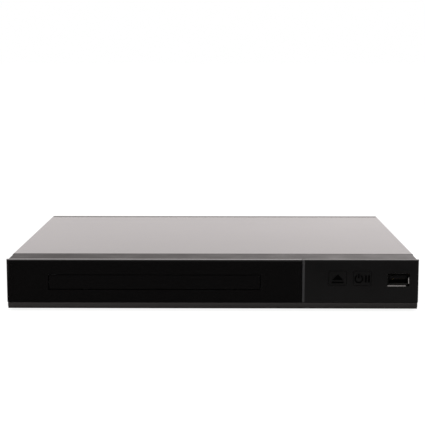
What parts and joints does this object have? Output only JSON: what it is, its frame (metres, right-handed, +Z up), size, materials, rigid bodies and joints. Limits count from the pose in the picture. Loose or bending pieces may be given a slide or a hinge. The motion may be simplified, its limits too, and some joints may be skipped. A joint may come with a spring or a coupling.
{
  "type": "disc player with tray",
  "caption": "Slim box-shaped disc player with a motor-driven tray behind a glossy front window, two keys, a memory-stick socket and sockets on the back.",
  "frame": {"origin": "middle of the bounding box on the plane of the feet's undersides", "axes": "+X to the viewer's right along the front, +Y from the front to the back, +Z up"},
  "size_m": [0.27, 0.208, 0.035],
  "materials": {
    "gloss_black": "high gloss black acrylic",
    "matte_black": "fine matte black",
    "band_plastic": "semi-matte black moulding",
    "cover_paint": "smooth black gloss paint",
    "trim_grey": "satin grey",
    "galvanised": "zinc-plated steel sheet",
    "bright_steel": "bright plated steel",
    "screw_black": "black zinc",
    "foot_rubber": "matte black rubber",
    "damper_rubber": "soft grey rubber",
    "tray_plastic": "satin dark moulding",
    "frame_plastic": "matte dark moulding",
    "acetal": "natural acetal",
    "brass_gear": "turned brass",
    "belt_rubber": "smooth black rubber",
    "sled_metal": "die-cast",
    "lens_blue": "coated lens in a dark holder",
    "board_green": "green solder mask",
    "board_brown": "paper laminate",
    "chip_black": "moulded chip",
    "capacitor_sleeve": "shrink sleeve",
    "connector_ivory": "ivory nylon",
    "core_grey": "ferrite and tape",
    "sink_aluminium": "extruded",
    "filter_yellow": "boxed film part",
    "ribbon_white": "flat cable",
    "wire_red": "insulated wire",
    "jack_yellow": "yellow insulator",
    "jack_white": "white insulator",
    "jack_red": "red insulator",
    "tongue_plastic": "contact carrier"
  },
  "bodies": {
    "root": {"bottom_pan": "galvanised", "rear_panel": "galvanised", "top_cover": "cover_paint", "rubber_feet": "foot_rubber", "cover_screws": "screw_black", "front_panel": "band_plastic", "front_window": "gloss_black", "control_panel": "matte_black", "divider_trim": "trim_grey", "usb_shell": "bright_steel", "usb_tongue": "tongue_plastic", "front_board": "board_brown", "tact_switches": "bright_steel", "ir_receiver": "chip_black", "loader_frame": "frame_plastic", "loader_dampers": "damper_rubber", "loader_screws": "bright_steel", "clamp_bridge": "galvanised", "loading_motor": "bright_steel", "drive_belt": "belt_rubber", "main_board": "board_green", "board_chips": "chip_black", "board_capacitors": "capacitor_sleeve", "board_connectors": "connector_ivory", "power_board": "board_brown", "transformer": "core_grey", "power_capacitors": "capacitor_sleeve", "heat_sink": "sink_aluminium", "fuse_and_filter": "filter_yellow", "board_screws": "bright_steel", "ribbon_cables": "ribbon_white", "power_wires": "wire_red", "rca_housing": "chip_black", "rca_barrels": "bright_steel", "rca_yellow": "jack_yellow", "rca_white": "jack_white", "rca_red": "jack_red", "hdmi_shell": "bright_steel", "hdmi_tongue": "tongue_plastic", "mains_inlet": "chip_black", "inlet_pins": "bright_steel"},
    "tray": {"tray": "tray_plastic", "tray_door": "gloss_black"},
    "drive_gear": {"drive_gear": "acetal"},
    "pulley_gear": {"pulley_gear": "acetal"},
    "motor_pulley": {"motor_pulley": "acetal"},
    "cam_slider": {"cam_slider": "acetal"},
    "traverse": {"traverse_deck": "frame_plastic", "spindle_motor": "bright_steel", "guide_rods": "bright_steel", "feed_motor": "bright_steel"},
    "turntable": {"turntable": "chip_black"},
    "clamper": {"clamper": "chip_black", "clamper_cap": "frame_plastic"},
    "pickup": {"pickup_sled": "sled_metal"},
    "lens": {"objective_lens": "lens_blue"},
    "feed_gear": {"feed_gear": "acetal"},
    "feed_pinion": {"feed_pinion": "brass_gear"},
    "eject_key": {"eject_key": "matte_black"},
    "power_key": {"power_key": "matte_black"}
  },
  "joints": [
    {"name": "tray_slide", "type": "slide", "parent": "root", "child": "tray", "axis": [0, -1, 0], "range_m": [0, 0.134]},
    {"name": "drive_gear_spin", "type": "hinge", "parent": "root", "child": "drive_gear", "pos_m": [0.017, -0.077, 0.0134], "axis": [0, 0, 1], "range_deg": [-962, 2]},
    {"name": "pulley_gear_spin", "type": "hinge", "parent": "root", "child": "pulley_gear", "pos_m": [-0.006, -0.077, 0.0134], "axis": [0, 0, 1], "range_deg": [-2, 2722]},
    {"name": "motor_pulley_spin", "type": "hinge", "parent": "root", "child": "motor_pulley", "pos_m": [-0.044, -0.08, 0.0162], "axis": [0, 0, 1], "range_deg": [-2, 7350]},
    {"name": "traverse_lift", "type": "hinge", "parent": "root", "child": "traverse", "pos_m": [-0.038, 0.053, 0.0125], "axis": [-1, 0, 0], "range_deg": [0, 3.8]},
    {"name": "cam_slide", "type": "slide", "parent": "root", "child": "cam_slider", "axis": [-1, 0, 0], "range_m": [0, 0.01201]},
    {"name": "turntable_spin", "type": "hinge", "parent": "traverse", "child": "turntable", "pos_m": [-0.038, -0.0324, 0.01575], "axis": [0, -0.0663, 0.9978], "continuous": true},
    {"name": "clamper_spin", "type": "hinge", "parent": "root", "child": "clamper", "pos_m": [-0.038, -0.032, 0.0246], "axis": [0, 0, 1], "continuous": true},
    {"name": "pickup_slide", "type": "slide", "parent": "traverse", "child": "pickup", "axis": [0, 0.9978, 0.0663], "range_m": [0, 0.033]},
    {"name": "lens_focus", "type": "slide", "parent": "pickup", "child": "lens", "axis": [0, -0.0663, 0.9978], "range_m": [-0.0006, 0.0006], "stiffness_N_per_m": 60},
    {"name": "feed_gear_spin", "type": "hinge", "parent": "traverse", "child": "feed_gear", "pos_m": [-0.0032, 0.01211, 0.00948], "axis": [0, -0.0663, 0.9978], "range_deg": [-396, 2]},
    {"name": "feed_pinion_spin", "type": "hinge", "parent": "traverse", "child": "feed_pinion", "pos_m": [0.0025, -0.00108, 0.00861], "axis": [0, -0.0663, 0.9978], "range_deg": [-2, 1027]},
    {"name": "eject_key_press", "type": "slide", "parent": "root", "child": "eject_key", "axis": [0, 1, 0], "range_m": [0, 0.0008], "stiffness_N_per_m": 400, "springref_m": -0.0005},
    {"name": "power_key_press", "type": "slide", "parent": "root", "child": "power_key", "axis": [0, 1, 0], "range_m": [0, 0.0008], "stiffness_N_per_m": 400, "springref_m": -0.0005}
  ],
  "couplings": [
    {"joint": "drive_gear_spin", "follows": "tray_slide", "rad_per_m": -125},
    {"joint": "pulley_gear_spin", "follows": "tray_slide", "rad_per_m": 354.17},
    {"joint": "motor_pulley_spin", "follows": "tray_slide", "rad_per_m": 957},
    {"joint": "cam_slide", "follows": "traverse_lift", "m_per_rad": 0.18093},
    {"joint": "clamper_spin", "follows": "turntable_spin", "ratio": 1},
    {"joint": "feed_gear_spin", "follows": "pickup_slide", "rad_per_m": -208.33},
    {"joint": "feed_pinion_spin", "follows": "pickup_slide", "rad_per_m": 541.67}
  ]
}
